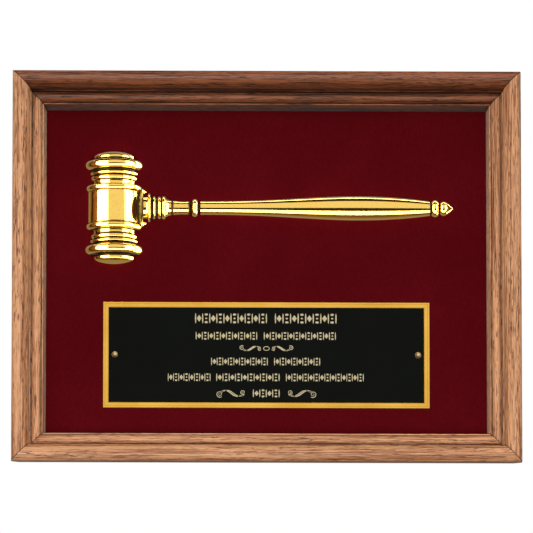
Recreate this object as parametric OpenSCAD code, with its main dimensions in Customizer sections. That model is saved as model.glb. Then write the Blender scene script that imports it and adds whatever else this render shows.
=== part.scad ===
// Award plaque: a mitred walnut frame around a velour-covered board, with a gilt gavel in relief
// and an engraving plate. Millimetres, +X right, +Z up, and the front faces -Y.
// The origin is on the wall, behind the middle notch of the sawtooth hanger.
//
// Every piece is drawn lying on its back: x right, y up the face from the plaque's centre and
// z away from the wall. hung() then stands it up and moves the hanger's notch to the origin.

/* [Board and cloth] */
// Width of the mounting board
board_w = 304.8; // [260:0.1:400]
// Height of the mounting board
board_h = 232; // [185:0.1:320]
// Thickness of the mounting board
board_t = 5; // [4.5:0.5:7]
// Thickness of the velour
cloth_t = 0.8; // [0.4:0.1:1]
// Width of the velour turned in on the board's back
turn_in = 20; // [16:1:35]

/* [Frame] */
// Depth of the moulding, from its back to its crest
rail_d = 31.8; // [25:0.1:40]
// Distance from the moulding's edge to the rebate, at the back
land_w = 15; // [14.5:0.5:18]
// How far the back is undercut from the moulding's edge
undercut = 4.5; // [0:0.5:4.5]
// Height of the square edge under the crown
edge_t = 4; // [2:0.5:10]
// Depth left in the rebate behind the framer's points
rebate_spare = 0.9; // [0.3:0.1:3]
// Width of the rounded crown
crown_w = 11.6; // [10:0.1:14]
// Distance from the moulding's edge to the crest
crest_u = 5.2; // [4:0.1:6]
// Drop from the crest to the moulding's edge
crown_drop = 3.3; // [2:0.1:4]
// Straight part of the crown's inner flank, below its quarter round (mm)
flank_d = 3.6; // [0.4:0.1:4]
// Width of the small flat inside the crown
fillet_w = 0.8; // [0.5:0.1:1.5]
// Width of the groove between the flat and the bead
cove_w = 1; // [0.8:0.1:2]
// Width of the inner bead
bead_w = 5.8; // [5:0.1:8]
// Rise of the bead above its edges
bead_rise = 1.9; // [1:0.1:2.5]
// Width of the fine groove inside the bead
quirk_w = 0.6; // [0.3:0.1:1]
// Width of the lip's flat front
lip_w = 0.8; // [0.5:0.1:2]
// How far the lip's inner wall leans in towards the board
splay = 2.0; // [1:0.1:3]

/* [Gavel] */
// Clear cloth between the frame and the side of the head
head_margin = 26.0; // [10:0.1:60]
// Clear cloth between the tip of the handle and the frame
tip_margin = 22.0; // [10:0.1:60]
// Depth of the head's turning axis below the cloth
head_sink = 8; // [4:0.1:9]
// Half width of the barrel at the cloth
barrel_r = 16.8; // [14:0.1:20]
// Half length of the barrel
barrel_l = 10.7; // [9:0.1:14]
// Radius of the narrow end of the shaft
shaft_r = 4.45; // [3.6:0.05:5.5]
// Radius of the shaft's swelling
belly_r = 8; // [7.5:0.1:10]

/* [Engraving plate] */
// Clear cloth between the frame and the plate's end
plate_margin = 37.7; // [20:0.1:60]
// Height of the gilt backing plate
plate_h = 71.5; // [50:0.5:82]
// Thickness of the gilt backing plate
plate_t = 0.6; // [0.4:0.1:1.2]
// Width of gilt that shows around the black plate
border_w = 3.7; // [2:0.1:6]
// Thickness of the black plate
black_t = 0.5; // [0.4:0.1:1]

/* [Spacing down the face] */
// Share of the spare height above the gavel
share_above = 0.393; // [0.3:0.001:0.5]
// Share of the spare height between the gavel and the plate
share_between = 0.359; // [0.25:0.001:0.45]

/* [Hardware] */
// Thickness of the wall bumpers
bumper_t = 3; // [3:0.5:5]
// Radius of the wall bumpers
bumper_r = 4.5; // [3.5:0.5:5]
// Length of the sawtooth hanger
hanger_w = 45; // [40:1:60]
// Height of the sawtooth hanger
hanger_h = 9.5; // [8:0.5:9.5]
// Thickness of the hanger's strip
strip_t = 0.8; // [0.5:0.1:1]
// Radius of the gavel screws
screw_r = 2; // [1.5:0.1:2.2]
// How far the gavel screws reach into the gavel
screw_grip = 4.6; // [3:0.1:5]
// Length of the framer's points
point_l = 15; // [12:0.5:18]
// Length of the corner V nails' legs
v_leg = 4.5; // [3.5:0.5:5]

/* [Hidden] */
$fn = 96;
big = 1000;
eps = 0.01;

walnut = "#b0734a";
velour = "#55080e";
gilt = "#f0c85f";
steel = "#b9bcc0";

// staples, points and V nails
staple_w = 10;
staple_bite = 3.6;                                  // length driven into the board
wire_t = 0.5;
wire_w = 0.8;
staple_inset = 13.5;                                // from the board's edge
staple_pitch = 62;
point_w = 8;
point_t = 0.5;
point_bite = 6.5;                                   // length driven into the rail
point_pitch = 85;
v_t = 0.5;
v_d = 10;
v_at = [10.4, 14.4];                                // from the frame's edges

// frame
board_gap = 0.05;                                   // between the cloth's wrap and the rebate
rebate_d = 2 * cloth_t + board_t + point_t + rebate_spare;
outer_w = board_w + 2 * (cloth_t + board_gap + land_w);
outer_h = board_h + 2 * (cloth_t + board_gap + land_w);
lip_u = crown_w + fillet_w + cove_w + bead_w + quirk_w; // lip's outer edge, from the rail's edge
face_w = lip_u + lip_w;
rail_w = face_w + splay;
sight_w = outer_w - 2 * rail_w;
sight_h = outer_h - 2 * rail_w;
crown_r = crown_w - crest_u;                        // quarter round inside the crest
fillet_h = rail_d - crown_r - flank_d;
cove_h = fillet_h - 3.7;
bead_h = cove_h + 0.4;                              // edges of the bead
lip_h = cove_h - 0.5;
quirk_h = lip_h - 0.7;

// layers, as heights above the wall
back_z = bumper_t;
face_z = back_z + rebate_d;                         // front of the velour
board_z = face_z - cloth_t;                         // front of the board
board_back = board_z - board_t;
cloth_back = board_back - cloth_t;

// hanger
notch_d = 2;
notch_pitch = 2.6;
notch_n = 4;                                        // notches each side of the middle one
hanger_inset = undercut + 0.4;                      // below the top edge of the frame
notch_to_top = hanger_inset + hanger_h - notch_d;
notch_y = outer_h / 2 - notch_to_top;
bridge_w = 2 * (notch_n + 1) * notch_pitch;
ear_x = (hanger_w + bridge_w) / 4 + 0.4;
bend_w = 1.8;
wall_gap = 0.2;                                     // between the hanger's bridge and the wall
nail_r = 0.75;
nail_head_r = 1.6;
nail_head_t = 0.6;
nail_l = 8.5;

// gavel head, as [thickness, half width at the cloth, rounded edge] from the barrel outwards
head_members = [
    [4.4, barrel_r + 1.3, true],
    [3.2, barrel_r - 3.3, false],
    [3.0, barrel_r - 1.9, true],
    [0.7, barrel_r - 3.3, false],
    [2.0, barrel_r - 1.3, true],
    [1.6, barrel_r - 3.3, false],
    [6.2, barrel_r + 1.9, true],
    [1.4, barrel_r - 5.8, false]
];
cap_l = 5.9;
cap_r = barrel_r - 3.9;
dome_r = 34;                                        // of the cap's end
head_l = 2 * (barrel_l + reach(head_members, len(head_members)) + cap_l);
head_r = barrel_r + 1.9;
head_x = -sight_w / 2 + head_margin + head_r;
spare_h = sight_h - head_l - plate_h;
gavel_y = sight_h / 2 - share_above * spare_h - head_l / 2;

// gavel handle, as [length, radius, end radius, rounded edge] from the collar outwards
collar_x = 2.3;
collar_w = 13;
collar_h = 3.6;
ear_l = 2.3;
neck_members = [
    [3.6, 7.2, 7.4, false],
    [1.3, 9.5, 9.5, true],
    [1.8, 7.2, 7.2, false],
    [1.5, 7.6, 7.6, true],
    [1.8, 6.6, 6.6, false],
    [1.9, 7.4, 7.4, true],
    [0.8, 6.4, 6.4, false],
    [2.3, 7.6, 7.6, true],
    [4.2, 6.3, 4.8, false],
    [12.0, 4.8, 4.4, false],
    [1.5, 3.2, 3.2, false],
    [3.5, 5.9, 5.9, true],
    [2.0, 2.6, 2.6, false]
];
tip_members = [
    [1.0, 4.2, 4.2, false],
    [5.0, 5.6, 5.6, true],
    [2.5, 4.3, 3.4, false],
    [4.0, 3.7, 3.2, false]
];
tip_r = 3;
tip_flat = 0.1;                                     // taken off the tip's rounded end
shaft_x = collar_x + reach(neck_members, len(neck_members));
tip_l = reach(tip_members, len(tip_members)) + tip_r - tip_flat;
handle_x = head_x + barrel_r;                       // where the handle meets the barrel
shaft_l = sight_w / 2 - tip_margin - handle_x - shaft_x - tip_l;
belly_at = 0.677;                                   // swelling's place, as a share of the shaft
tenon_r = 1.5;
tenon_z = 1.9;
tenon_l = 7;
tenon_gap = 0.05;
cope = 1.005;                                       // enlarged head that copes the handle's end

// screws through the board into the gavel
screw_gap = 0.05;
board_hole_gap = 0.25;
screw_head_r = 3.6;
screw_head_t = 2;
washer_r = 5;
washer_t = 0.8;
bore_spare = 0.5;
screw_z = board_back - washer_t;                    // underside of the screw heads
screw_l = washer_t + board_t + cloth_t + screw_grip;
screw_x = [head_x, handle_x + shaft_x + belly_at * shaft_l];

// engraving plate
plate_w = sight_w - 2 * plate_margin;
plate_y = -sight_h / 2 + (1 - share_above - share_between) * spare_h + plate_h / 2;
pin_x = plate_w / 2 - border_w - 4;
pin_r = 0.6;
pin_gap = 0.1;
pin_grip = 3.1;                                     // length driven into the board
pin_l = plate_t + black_t + cloth_t + pin_grip;
pin_head_r = 2;
pin_head_t = 0.8;

// Total length of the first n members of a turned outline.
function reach(members, n) = n <= 0 ? 0 : members[n - 1][0] + reach(members, n - 1);

// True radius of a turning whose axis is sunk below the cloth and which is w wide there.
function sunk_r(w, sink) = sqrt(w * w + sink * sink);

// Shaft radius at the share t of its length: a slow swelling, then a quicker fall.
function ease(t) = t * t * (3 - 2 * t);
function shaft_at(t) = t < belly_at
    ? shaft_r + (belly_r - shaft_r) * ease(pow(t / belly_at, 1.3))
    : belly_r - (belly_r - shaft_r) * 0.92 * pow((t - belly_at) / (1 - belly_at), 2.2);

// Places along a side of length l, pitch apart or closer, centred.
function spots(l, pitch) =
    let (n = max(2, round(l / pitch)))
    [for (i = [0:n - 1]) (i + 0.5) * l / n - l / 2];

module hung() {
    rotate([90, 0, 0]) translate([0, -notch_y, 0]) children();
}

// ---- Frame -------------------------------------------------------------------------------

// Disc segment that stands on a chord of width w, rises by rise and is lifted to h.
module crowned(w, rise, h) {
    r = (w * w / 4 + rise * rise) / (2 * rise);
    intersection() {
        translate([w / 2, h + rise - r]) circle(r);
        translate([0, h]) square([w, rise + 1]);
    }
}

// Section of the moulding: x inwards from the frame's edge, y forwards from its back.
module moulding() {
    bead_u = crown_w + fillet_w + cove_w;
    edge_h = rail_d - crown_drop;
    crown_h = rail_d - crown_r;
    polygon([
        [undercut, 0], [land_w, 0], [land_w, rebate_d], [rail_w, rebate_d], [face_w, lip_h],
        [lip_u, lip_h], [lip_u, quirk_h], [lip_u - quirk_w, quirk_h], [lip_u - quirk_w, bead_h],
        [bead_u, bead_h], [bead_u, cove_h], [crown_w + fillet_w, cove_h],
        [crown_w + fillet_w, fillet_h], [crown_w, fillet_h], [crown_w, crown_h],
        [crest_u, crown_h], [crest_u, edge_h], [0, edge_h], [0, edge_h - edge_t]
    ]);
    intersection() {
        translate([0, edge_h]) square([crest_u, crown_drop + 1]);
        crowned(2 * crest_u, crown_drop, edge_h);
    }
    intersection() {
        translate([crest_u, crown_h]) circle(crown_r);
        translate([crest_u, crown_h]) square(crown_r + 1);
    }
    translate([bead_u, 0]) crowned(bead_w, bead_rise, bead_h);
}

// One rail of the given outside length, lying along x, whose outer edge is off from the centre.
module rail(length, off) {
    inner = length - 2 * rail_w;
    difference() {
        translate([0, -off, back_z]) intersection() {
            rotate([90, 0, 90]) linear_extrude(length, center = true) moulding();
            translate([0, 0, -1]) linear_extrude(rail_d + 2)
                polygon([[-length / 2, 0], [length / 2, 0], [inner / 2, rail_w], [-inner / 2, rail_w]]);
        }
        children();
    }
}

// The rails are cut for the nails and points that are driven into them.
module top_rail() {
    color(walnut) hung() rail_cut() rotate([0, 0, 180]) rail(outer_w, outer_h / 2);
}

module bottom_rail() {
    color(walnut) hung() rail_cut() rail(outer_w, outer_h / 2);
}

module left_rail() {
    color(walnut) hung() rail_cut() rotate([0, 0, 270]) rail(outer_h, outer_w / 2);
}

module right_rail() {
    color(walnut) hung() rail_cut() rotate([0, 0, 90]) rail(outer_h, outer_w / 2);
}

module rail_cut() {
    difference() {
        children();
        v_nails();
        points();
        nails();
    }
}

// V-shaped strip driven across a mitre, with its point towards the plaque's middle.
module v_nail() {
    linear_extrude(v_d) polygon([
        [0, 0], [-v_leg, 0], [-v_leg, -v_t], [-v_t, -v_t], [-v_t, -v_leg], [0, -v_leg]
    ]);
}

module v_nails() {
    for (mx = [0, 1], my = [0, 1], u = v_at)
        mirror([mx, 0, 0]) mirror([0, my, 0])
            translate([outer_w / 2 - u, outer_h / 2 - u, back_z])
                mirror([1, 0, 0]) mirror([0, 1, 0]) v_nail();
}

module corner_v_nails() {
    color(steel) hung() v_nails();
}

// ---- Board and cloth ---------------------------------------------------------------------

module slab(w, h, z, t) {
    translate([-w / 2, -h / 2, z]) cube([w, h, t]);
}

module screw_holes(r) {
    for (x = screw_x) translate([x, gavel_y, 0]) cylinder(h = face_z + 1, r = r);
}

module mounting_board() {
    color("#8a6d4f") hung() difference() {
        slab(board_w, board_h, board_back, board_t);
        screw_holes(screw_r + board_hole_gap);
        staples();
        pins();
    }
}

module velour_cloth() {
    color(velour) hung() difference() {
        slab(board_w + 2 * cloth_t, board_h + 2 * cloth_t, cloth_back, face_z - cloth_back);
        slab(board_w, board_h, board_back, board_t);
        slab(board_w - 2 * turn_in, board_h - 2 * turn_in, cloth_back - 1, 2 + cloth_t);
        screw_holes(screw_r + board_hole_gap);
        staples();
        pins();
    }
}

// Staple lying along x with its crown on the turned-in velour.
module staple() {
    translate([-staple_w / 2, -wire_w / 2, cloth_back - wire_t]) cube([staple_w, wire_w, wire_t]);
    for (x = [-staple_w / 2, staple_w / 2 - wire_t])
        translate([x, -wire_w / 2, cloth_back - eps]) cube([wire_t, wire_w, cloth_t + staple_bite]);
}

module staples() {
    for (side = [-1, 1]) {
        for (x = spots(board_w, staple_pitch))
            translate([x, side * (board_h / 2 - staple_inset), 0]) staple();
        for (y = spots(board_h - 2 * turn_in, staple_pitch))
            translate([side * (board_w / 2 - staple_inset), y, 0]) rotate([0, 0, 90]) staple();
    }
}

module cloth_staples() {
    color(steel) hung() staples();
}

// Flat point driven into the rail at +y, lying on the turned-in velour.
module framer_point() {
    w = point_w / 2;
    translate([0, -point_l + point_bite, cloth_back - point_t]) linear_extrude(point_t)
        polygon([[-w, 0], [w, 0], [w, point_l - w], [0, point_l], [-w, point_l - w]]);
}

module points() {
    rebate_x = outer_w / 2 - land_w;
    rebate_y = outer_h / 2 - land_w;
    for (turn = [0, 180]) rotate([0, 0, turn]) {
        for (x = spots(board_w, point_pitch)) translate([x, rebate_y, 0]) framer_point();
        for (y = [-point_pitch / 2, point_pitch / 2])
            translate([rebate_x, y, 0]) rotate([0, 0, -90]) framer_point();
    }
}

module retaining_points() {
    color(steel) hung() points();
}

// ---- Gavel -------------------------------------------------------------------------------

// Half section of one turned member, from y = 0 to its length, with a straight or rounded edge.
module member(l, r0, r1, rounded) {
    if (rounded) {
        square([r0 - l / 2, l]);
        translate([r0 - l / 2, l / 2]) circle(l / 2);
    } else {
        polygon([[0, 0], [r0, 0], [r1, l], [0, l]]);
    }
}

// Keeps what stands in front of the velour.
module relief() {
    intersection() {
        children();
        translate([-big / 2, -big / 2, face_z]) cube(big);
    }
}

module head_section() {
    square([sunk_r(barrel_r, head_sink), barrel_l]);
    for (i = [0:len(head_members) - 1]) {
        r = sunk_r(head_members[i][1], head_sink);
        translate([0, barrel_l + reach(head_members, i)])
            member(head_members[i][0], r, r, head_members[i][2]);
    }
    translate([0, head_l / 2 - cap_l]) intersection() {
        square([sunk_r(cap_r, head_sink), cap_l]);
        translate([0, cap_l - dome_r]) circle(dome_r);
    }
}

// The head's full turning, about an axis along y through the head's centre.
module head_turning() {
    for (end = [0, 1]) mirror([0, end, 0]) rotate([-90, 0, 0]) rotate_extrude() head_section();
}

module gavel_head() {
    color(gilt) hung() difference() {
        relief() translate([head_x, gavel_y, face_z - head_sink]) head_turning();
        gavel_bores();
        translate([handle_x - tenon_l - 1, gavel_y, face_z + tenon_z]) rotate([0, 90, 0])
            cylinder(h = tenon_l + 2, r = tenon_r + tenon_gap);
    }
}

// Blind bores for the two screws, from the back of the gavel.
module gavel_bores() {
    for (x = screw_x) translate([x, gavel_y, face_z - 1])
        cylinder(h = screw_grip + bore_spare + 1, r = screw_r + screw_gap);
}

module handle_section() {
    for (i = [0:len(neck_members) - 1]) {
        m = neck_members[i];
        translate([0, collar_x + reach(neck_members, i)]) member(m[0], m[1], m[2], m[3]);
    }
    steps = 20;
    translate([0, shaft_x]) polygon(concat([[0, 0]],
        [for (i = [0:steps]) [shaft_at(i / steps), shaft_l * i / steps]], [[0, shaft_l]]));
    translate([0, shaft_x + shaft_l]) {
        for (i = [0:len(tip_members) - 1]) {
            m = tip_members[i];
            translate([0, reach(tip_members, i)]) member(m[0], m[1], m[2], m[3]);
        }
        translate([0, reach(tip_members, len(tip_members))]) intersection() {
            circle(tip_r);
            square([tip_r, tip_r - tip_flat]);
        }
    }
}

// Low saddle that seats against the barrel, with a pointed ear at each side.
module collar() {
    sink = (collar_w * collar_w - collar_h * collar_h) / (2 * collar_h);
    translate([-tenon_l, 0, -sink]) rotate([0, 90, 0])
        cylinder(h = tenon_l + collar_x, r = sunk_r(collar_w, sink));
    for (side = [0, 1]) mirror([0, side, 0]) linear_extrude(collar_h / 2)
        polygon([[collar_x - 1, collar_w - 0.5], [collar_x - 1, collar_w - 3.5],
            [collar_x, collar_w - 3.5], [collar_x + ear_l, collar_w - 1.8]]);
}

module gavel_handle() {
    color(gilt) hung() {
        difference() {
            relief() translate([handle_x, gavel_y, face_z]) {
                rotate([0, 90, 0]) rotate_extrude() handle_section();
                collar();
            }
            translate([head_x, gavel_y, face_z - head_sink]) scale(cope) head_turning();
            gavel_bores();
        }
        translate([handle_x - tenon_l, gavel_y, face_z + tenon_z]) rotate([0, 90, 0])
            cylinder(h = tenon_l + 1, r = tenon_r);
    }
}

module gavel_screws() {
    color(steel) hung() for (x = screw_x) translate([x, gavel_y, screw_z]) {
        cylinder(h = screw_l, r = screw_r);
        difference() {
            translate([0, 0, -screw_head_t])
                cylinder(h = screw_head_t, r1 = screw_head_r - 0.8, r2 = screw_head_r);
            for (turn = [0, 90]) rotate([0, 0, turn])
                translate([-2, -0.4, -screw_head_t - 1]) cube([4, 0.8, 2.2]);
        }
    }
}

module gavel_washers() {
    color(steel) hung() for (x = screw_x) translate([x, gavel_y, screw_z]) difference() {
        cylinder(h = washer_t, r = washer_r);
        translate([0, 0, -1]) cylinder(h = washer_t + 2, r = screw_r + screw_gap);
    }
}

// ---- Engraving plate ---------------------------------------------------------------------

module pin_holes() {
    for (x = [-pin_x, pin_x]) translate([x, plate_y, face_z - 1]) cylinder(h = 4, r = pin_r + pin_gap);
}

module plate_border() {
    color("#d9a441") hung() difference() {
        translate([0, plate_y, 0]) slab(plate_w, plate_h, face_z, plate_t);
        pin_holes();
    }
}

module name_plate() {
    color("#0e110a") hung() difference() {
        translate([0, plate_y, 0])
            slab(plate_w - 2 * border_w, plate_h - 2 * border_w, face_z + plate_t, black_t);
        pin_holes();
    }
}

// Escutcheon pins, whose low domed heads hold both plates to the board.
module pins() {
    head_z = face_z + plate_t + black_t;
    round_r = (pin_head_r * pin_head_r + pin_head_t * pin_head_t) / (2 * pin_head_t);
    for (x = [-pin_x, pin_x]) translate([x, plate_y, head_z]) {
        translate([0, 0, -pin_l]) cylinder(h = pin_l + eps, r = pin_r);
        intersection() {
            translate([0, 0, pin_head_t - round_r]) sphere(round_r);
            cylinder(h = pin_head_t + 1, r = pin_head_r + 1);
        }
    }
}

module plate_pins() {
    color("#e6b84f") hung() pins();
}

// ---- Hanger and bumpers ------------------------------------------------------------------

// Steel strip with flat ears and a bridge that stands off the wood, toothed along its lower edge.
module sawtooth_hanger() {
    e = hanger_w / 2;
    b = bridge_w / 2;
    low = wall_gap;
    rise = back_z - strip_t - low;
    color(steel) hung() translate([0, notch_y, 0]) difference() {
        translate([0, hanger_h - notch_d, 0]) rotate([90, 0, 0]) linear_extrude(hanger_h) polygon([
            [-e, low + rise], [-b - bend_w, low + rise], [-b, low], [b, low],
            [b + bend_w, low + rise], [e, low + rise], [e, back_z], [b + bend_w - strip_t / 2, back_z],
            [b - strip_t / 2, low + strip_t], [-b + strip_t / 2, low + strip_t],
            [-b - bend_w + strip_t / 2, back_z], [-e, back_z]
        ]);
        for (i = [-notch_n:notch_n]) translate([i * notch_pitch, 0, -1]) linear_extrude(back_z + 2)
            polygon([[0, 0], [-notch_d / 2, -notch_d], [-notch_d / 2, -notch_d - 1],
                [notch_d / 2, -notch_d - 1], [notch_d / 2, -notch_d]]);
        for (x = [-ear_x, ear_x]) translate([x, hanger_h / 2 - notch_d, -1])
            cylinder(h = back_z + 2, r = nail_r + 0.05);
    }
}

module nails() {
    for (x = [-ear_x, ear_x])
        translate([x, notch_y + hanger_h / 2 - notch_d, back_z - strip_t]) {
            translate([0, 0, -nail_head_t]) cylinder(h = nail_head_t, r = nail_head_r);
            translate([0, 0, -eps]) cylinder(h = nail_l, r = nail_r);
        }
}

module hanger_nails() {
    color(steel) hung() nails();
}

// Rubber discs at the lower corners that keep the plaque level on the wall.
module wall_bumpers() {
    chamfer = 0.4;
    color("#2b2b2b") hung() for (side = [-1, 1])
        translate([side * (outer_w / 2 - land_w - 2), (land_w + undercut - outer_h) / 2, 0]) {
            cylinder(h = chamfer, r1 = bumper_r - chamfer, r2 = bumper_r);
            translate([0, 0, chamfer]) cylinder(h = bumper_t - chamfer, r = bumper_r);
        }
}

top_rail();
bottom_rail();
left_rail();
right_rail();
corner_v_nails();
mounting_board();
velour_cloth();
cloth_staples();
retaining_points();
gavel_head();
gavel_handle();
gavel_screws();
gavel_washers();
plate_border();
name_plate();
plate_pins();
sawtooth_hanger();
hanger_nails();
wall_bumpers();
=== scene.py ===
# Looks of the award plaque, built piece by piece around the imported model, in metres.
# +X is right, +Z is up and the face looks towards -Y.
import math

import bmesh
import bpy
import numpy as np
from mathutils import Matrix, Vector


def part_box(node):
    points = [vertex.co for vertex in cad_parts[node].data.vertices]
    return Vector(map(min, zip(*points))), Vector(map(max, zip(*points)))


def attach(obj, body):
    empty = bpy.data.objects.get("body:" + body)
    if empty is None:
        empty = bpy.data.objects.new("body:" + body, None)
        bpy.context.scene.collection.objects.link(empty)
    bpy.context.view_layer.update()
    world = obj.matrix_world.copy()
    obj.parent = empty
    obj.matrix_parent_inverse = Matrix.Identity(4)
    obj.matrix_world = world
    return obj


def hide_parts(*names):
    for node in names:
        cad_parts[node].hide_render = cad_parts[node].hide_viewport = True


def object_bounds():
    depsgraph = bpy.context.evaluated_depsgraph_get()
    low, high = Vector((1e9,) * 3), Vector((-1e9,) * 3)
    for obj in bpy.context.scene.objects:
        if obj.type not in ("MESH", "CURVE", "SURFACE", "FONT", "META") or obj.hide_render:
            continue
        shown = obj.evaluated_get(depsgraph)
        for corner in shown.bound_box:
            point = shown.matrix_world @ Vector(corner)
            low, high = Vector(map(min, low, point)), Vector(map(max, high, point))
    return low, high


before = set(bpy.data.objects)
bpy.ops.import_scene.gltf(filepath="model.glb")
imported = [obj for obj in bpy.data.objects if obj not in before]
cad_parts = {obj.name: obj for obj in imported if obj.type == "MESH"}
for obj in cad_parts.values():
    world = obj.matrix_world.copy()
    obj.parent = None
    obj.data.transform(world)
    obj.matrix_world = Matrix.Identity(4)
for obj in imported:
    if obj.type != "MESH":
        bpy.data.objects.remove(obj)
cad_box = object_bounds()

# ---- Walnut frame --------------------------------------------------------------------------------
# Four lengths of one moulding, mitred at the corners. Each is swept from the same eased section,
# and the arris of each mitre is broken, so that the joints read as fine grooves.
mm = 0.001
edge_left, edge_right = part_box("left_rail")[0].x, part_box("right_rail")[1].x
edge_low, edge_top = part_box("bottom_rail")[0].z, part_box("top_rail")[1].z
rail_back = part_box("top_rail")[1].y
mid_z = (edge_low + edge_top) / 2
across_half, up_half = (edge_right - edge_left) / 2, (edge_top - edge_low) / 2


def arc(centre, radius, start, end, steps):
    """Points of an arc, from start to end in degrees."""
    turns = np.radians(np.linspace(start, end, steps + 1))
    return [(centre[0] + radius * math.cos(t), centre[1] + radius * math.sin(t)) for t in turns]


def eased(points, reach, steps=3):
    """The closed outline with each sharp corner rounded, at most reach from the corner."""
    p = [np.array(q, float) for q in points]
    out = []
    for i, here in enumerate(p):
        before, after = p[i - 1] - here, p[(i + 1) % len(p)] - here
        a, b = np.linalg.norm(before), np.linalg.norm(after)
        turn = math.degrees(math.acos(np.clip(-before @ after / (a * b), -1, 1)))
        if turn < 25:
            out.append(tuple(here))
            continue
        d = min(reach, 0.4 * a, 0.4 * b)
        p0, p1 = here + before / a * d, here + after / b * d
        for t in np.linspace(0, 1, steps + 1):
            out.append(tuple((1 - t) ** 2 * p0 + 2 * t * (1 - t) * here + t * t * p1))
    return out


def shrunk(points, by):
    """The closed outline moved inwards by a small distance."""
    p = np.array(points, float)
    area = np.sum(p[:, 0] * np.roll(p[:, 1], -1) - np.roll(p[:, 0], -1) * p[:, 1])
    along = np.roll(p, -1, 0) - np.roll(p, 1, 0)
    along /= np.linalg.norm(along, axis=1)[:, None]
    inwards = np.column_stack([-along[:, 1], along[:, 0]]) * (1 if area > 0 else -1)
    return [tuple(q) for q in p + inwards * by]


def to_object(name, verts, faces, smooth=32, **marks):
    """A mesh object with outward normals, smooth except at edges sharper than the given angle.
    Each mark is an attribute: one number or vector for each vertex."""
    mesh = bpy.data.meshes.new(name)
    mesh.from_pydata([tuple(v) for v in verts], [], faces)
    for mark, values in marks.items():
        values = np.array(values, np.float32)
        kind, key = ("FLOAT_VECTOR", "vector") if values.ndim == 2 else ("FLOAT", "value")
        mesh.attributes.new(mark, kind, "POINT").data.foreach_set(key, values.ravel())
    bm = bmesh.new()
    bm.from_mesh(mesh)
    bmesh.ops.remove_doubles(bm, verts=bm.verts, dist=1e-7)
    bmesh.ops.recalc_face_normals(bm, faces=bm.faces)
    bm.to_mesh(mesh)
    bm.free()
    mesh.shade_smooth()
    mesh.set_sharp_from_angle(angle=math.radians(smooth))
    piece = bpy.data.objects.new(name, mesh)
    bpy.context.scene.collection.objects.link(piece)
    return piece


def loft(loops, first=0):
    """Vertices and faces of a closed skin over loops of equal length, with a cap at each end."""
    n = len(loops[0])
    verts = [v for loop in loops for v in loop]
    faces = [
        (first + i * n + j, first + i * n + (j + 1) % n,
         first + (i + 1) * n + (j + 1) % n, first + (i + 1) * n + j)
        for i in range(len(loops) - 1) for j in range(n)
    ]
    faces.append(tuple(first + j for j in reversed(range(n))))
    faces.append(tuple(first + (len(loops) - 1) * n + j for j in range(n)))
    return verts, faces


rail_d, rebate_d, land_w, undercut, edge_t = 31.8, 8, 15, 4.5, 4
crown_w, crest_u, crown_drop, flank_d, fillet_w, cove_w = 11.6, 5.2, 3.3, 3.6, 0.8, 1.0
bead_w, bead_rise, quirk_w, lip_w, splay = 5.8, 1.9, 0.6, 0.8, 2.0
crown_r = crown_w - crest_u
edge_h = rail_d - crown_drop
fillet_h = rail_d - crown_r - flank_d
cove_h = fillet_h - 3.7
bead_h, lip_h, quirk_h = cove_h + 0.4, cove_h - 0.5, cove_h - 1.2
bead_u = crown_w + fillet_w + cove_w
lip_u = bead_u + bead_w + quirk_w
face_w = lip_u + lip_w
rail_w = face_w + splay
outer_r = (crest_u ** 2 + crown_drop ** 2) / (2 * crown_drop)
bead_r = (bead_w ** 2 / 4 + bead_rise ** 2) / (2 * bead_rise)
outer_turn = math.degrees(math.acos(crest_u / outer_r))
bead_turn = math.degrees(math.acos(bead_w / 2 / bead_r))
section = eased(
    [(land_w, 0), (undercut, 0), (0, edge_h - edge_t)]
    + arc((crest_u, rail_d - outer_r), outer_r, 180 - outer_turn, 90, 14)
    + arc((crest_u, rail_d - crown_r), crown_r, 90, 0, 20)[1:]
    + [(crown_w, fillet_h), (crown_w + fillet_w, fillet_h), (crown_w + fillet_w, cove_h),
       (bead_u, cove_h)]
    + arc((bead_u + bead_w / 2, bead_h + bead_rise - bead_r), bead_r, 180 - bead_turn, bead_turn, 18)
    + [(bead_u + bead_w, quirk_h), (lip_u, quirk_h), (lip_u, lip_h), (face_w, lip_h),
       (rail_w, rebate_d), (land_w, rebate_d)],
    0.22,
)

rails, plank_step, plank_row = [], 900, 37
for name, out, half, off, seed in (
    ("top_rail", (0, 1), across_half, up_half, 1), ("bottom_rail", (0, -1), across_half, up_half, 2),
    ("left_rail", (-1, 0), up_half, across_half, 3), ("right_rail", (1, 0), up_half, across_half, 4),
):
    along = (out[1], -out[0])
    # The grooves beside the bead take settled stain and painted shade. The inner walls below the lip
    # take painted shade, most on the top rail, whose wall faces down.
    groove_stain_shade, wall_shade = (0.45, 0.7) if name == "top_rail" else (0.9, 0.25)
    loops, grain, stained = [], [], []
    # Each loop: its end, how far it stands back from the mitre, how far it is shrunk, and its stain.
    for end, back, inset, joint in ((-1, 0.02, 0.24, 1), (-1, 0.30, 0.03, 1), (-1, 0.58, 0, 0),
                                    (1, 0.58, 0, 0), (1, 0.30, 0.03, 1), (1, 0.02, 0.24, 1)):
        loop = []
        for u, h in shrunk(section, inset) if inset else section:
            s = end * (half - (u + back) * mm)
            loop.append((along[0] * s + out[0] * (off - u * mm),
                         rail_back - h * mm,
                         mid_z + along[1] * s + out[1] * (off - u * mm)))
            grain.append((s / mm + plank_step * seed, u + plank_row * seed, h))
            # Painted shade marks: the grooves beside the bead, and the inner wall below the lip.
            groove = crown_w + fillet_w - 0.1 < u < bead_u + 0.25 and h < bead_h + 0.15
            groove = groove or lip_u - quirk_w - 0.25 < u < lip_u + 0.05 and h < quirk_h + 0.6
            wall = u > face_w + 0.1 and h < lip_h - 0.3
            stained.append(max(joint, groove_stain_shade * groove, wall_shade * wall))
        loops.append(loop)
    verts, faces = loft(loops)
    piece = to_object("walnut_" + name, verts, faces, grain_at=grain, stained=stained)
    rails.append((piece, name))


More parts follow.
